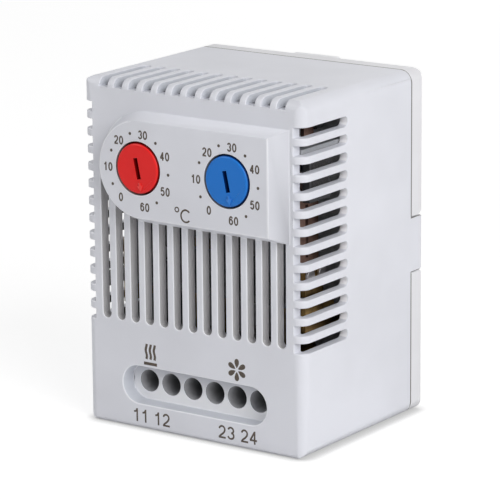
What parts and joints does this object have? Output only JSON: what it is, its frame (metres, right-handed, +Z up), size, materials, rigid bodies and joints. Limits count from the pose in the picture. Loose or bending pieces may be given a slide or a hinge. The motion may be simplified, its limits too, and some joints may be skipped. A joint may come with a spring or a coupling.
{
  "type": "din rail thermostat",
  "caption": "Rail-mounted dual thermostat with a red heating dial and a blue cooling dial, vent slots all round and a screw terminal row at the bottom.",
  "frame": {"origin": "middle of the underside of the whole object", "axes": "+Z up, -Y out of the dials, +Y into the rail, +X to the viewer's right on the cooling dial's side"},
  "size_m": [0.05, 0.046, 0.067],
  "materials": {
    "shell": "fine satin moulded surface, light grey",
    "frame_plastic": "plain moulded surface, mid grey",
    "dark_plastic": "plain moulded surface, dark grey",
    "lever_plastic": "plain moulded surface, blue grey",
    "red_plastic": "smooth moulded, signal red",
    "blue_plastic": "smooth moulded, signal blue",
    "plated_steel": "zinc plated",
    "brass": "stamped, slightly tarnished",
    "silver": "silver contact",
    "bimetal": "copper-coloured bimetal strip",
    "ferrite": "sintered ferrite"
  },
  "bodies": {
    "housing": {"front_housing": "shell", "rear_cover": "shell", "chassis": "frame_plastic", "chassis_screws": "plated_steel", "terminal_block": "dark_plastic", "latch_spring": "plated_steel", "lever_pin_heat": "plated_steel", "lever_pin_cool": "plated_steel", "lever_spring_heat": "plated_steel", "lever_spring_cool": "plated_steel", "magnet_heat": "ferrite", "magnet_cool": "ferrite", "bimetal_rivets_heat": "plated_steel", "bimetal_rivets_cool": "plated_steel", "busbar_11": "brass", "busbar_12": "brass", "busbar_23": "brass", "busbar_24": "brass"},
    "latch": {"rail_latch": "shell"},
    "heat_knob": {"knob_heat": "red_plastic"},
    "cool_knob": {"knob_cool": "blue_plastic"},
    "heat_lever": {"lever_heat": "lever_plastic", "blade_heat": "brass", "fixed_contact_heat": "silver"},
    "cool_lever": {"lever_cool": "lever_plastic", "blade_cool": "brass", "fixed_contact_cool": "silver"},
    "heat_strip": {"bimetal_heat": "bimetal", "moving_contact_heat": "silver", "armature_heat": "plated_steel"},
    "cool_strip": {"bimetal_cool": "bimetal", "moving_contact_cool": "silver", "armature_cool": "plated_steel"},
    "cage_11": {"clamp_cage_11": "plated_steel"},
    "cage_12": {"clamp_cage_12": "plated_steel"},
    "cage_23": {"clamp_cage_23": "plated_steel"},
    "cage_24": {"clamp_cage_24": "plated_steel"},
    "screw_11": {"terminal_screw_11": "plated_steel"},
    "screw_12": {"terminal_screw_12": "plated_steel"},
    "screw_23": {"terminal_screw_23": "plated_steel"},
    "screw_24": {"terminal_screw_24": "plated_steel"}
  },
  "joints": [
    {"name": "knob_heat_turn", "type": "hinge", "parent": "housing", "child": "heat_knob", "pos_m": [-0.0101, -0.0228, 0.0513], "axis": [0, -1, 0], "range_deg": [0, 315]},
    {"name": "knob_cool_turn", "type": "hinge", "parent": "housing", "child": "cool_knob", "pos_m": [0.0101, -0.0228, 0.0513], "axis": [0, -1, 0], "range_deg": [0, 315]},
    {"name": "lever_heat_swing", "type": "hinge", "parent": "housing", "child": "heat_lever", "pos_m": [-0.0158, -0.012, 0.0316], "axis": [0, 1, 0], "range_deg": [0, 4.4], "deforming": ["lever_spring_heat"]},
    {"name": "lever_cool_swing", "type": "hinge", "parent": "housing", "child": "cool_lever", "pos_m": [0.0143, -0.012, 0.0316], "axis": [0, 1, 0], "range_deg": [0, 4.4], "deforming": ["lever_spring_cool"]},
    {"name": "bimetal_heat_snap", "type": "hinge", "parent": "housing", "child": "heat_strip", "pos_m": [-0.01945, -0.0103, 0.033], "axis": [0, 1, 0], "range_deg": [-1.9, 0]},
    {"name": "bimetal_cool_snap", "type": "hinge", "parent": "housing", "child": "cool_strip", "pos_m": [0.01945, -0.0103, 0.033], "axis": [0, 1, 0], "range_deg": [-1.75, 0]},
    {"name": "screw_11_turn", "type": "hinge", "parent": "housing", "child": "screw_11", "pos_m": [-0.0127, -0.00865, 0.00865], "axis": [0, 1, 0], "range_deg": [0, 1445]},
    {"name": "screw_12_turn", "type": "hinge", "parent": "housing", "child": "screw_12", "pos_m": [-0.00762, -0.00865, 0.00865], "axis": [0, 1, 0], "range_deg": [0, 1445]},
    {"name": "screw_23_turn", "type": "hinge", "parent": "housing", "child": "screw_23", "pos_m": [0.00762, -0.00865, 0.00865], "axis": [0, 1, 0], "range_deg": [0, 1445]},
    {"name": "screw_24_turn", "type": "hinge", "parent": "housing", "child": "screw_24", "pos_m": [0.0127, -0.00865, 0.00865], "axis": [0, 1, 0], "range_deg": [0, 1445]},
    {"name": "cage_11_slide", "type": "slide", "parent": "housing", "child": "cage_11", "axis": [0, -1, 0], "range_m": [0, 0.002]},
    {"name": "cage_12_slide", "type": "slide", "parent": "housing", "child": "cage_12", "axis": [0, -1, 0], "range_m": [0, 0.002]},
    {"name": "cage_23_slide", "type": "slide", "parent": "housing", "child": "cage_23", "axis": [0, -1, 0], "range_m": [0, 0.002]},
    {"name": "cage_24_slide", "type": "slide", "parent": "housing", "child": "cage_24", "axis": [0, -1, 0], "range_m": [0, 0.002]},
    {"name": "latch_slide", "type": "slide", "parent": "housing", "child": "latch", "axis": [0, 0, 1], "range_m": [0, 0.003], "stiffness_N_per_m": 600, "springref_m": -0.002, "deforming": ["latch_spring"]}
  ],
  "couplings": [
    {"joint": "lever_heat_swing", "follows": "knob_heat_turn", "ratio": 0.013849},
    {"joint": "lever_cool_swing", "follows": "knob_cool_turn", "ratio": 0.013849},
    {"joint": "screw_11_turn", "follows": "cage_11_slide", "rad_per_m": 12566},
    {"joint": "screw_12_turn", "follows": "cage_12_slide", "rad_per_m": 12566},
    {"joint": "screw_23_turn", "follows": "cage_23_slide", "rad_per_m": 12566},
    {"joint": "screw_24_turn", "follows": "cage_24_slide", "rad_per_m": 12566}
  ]
}
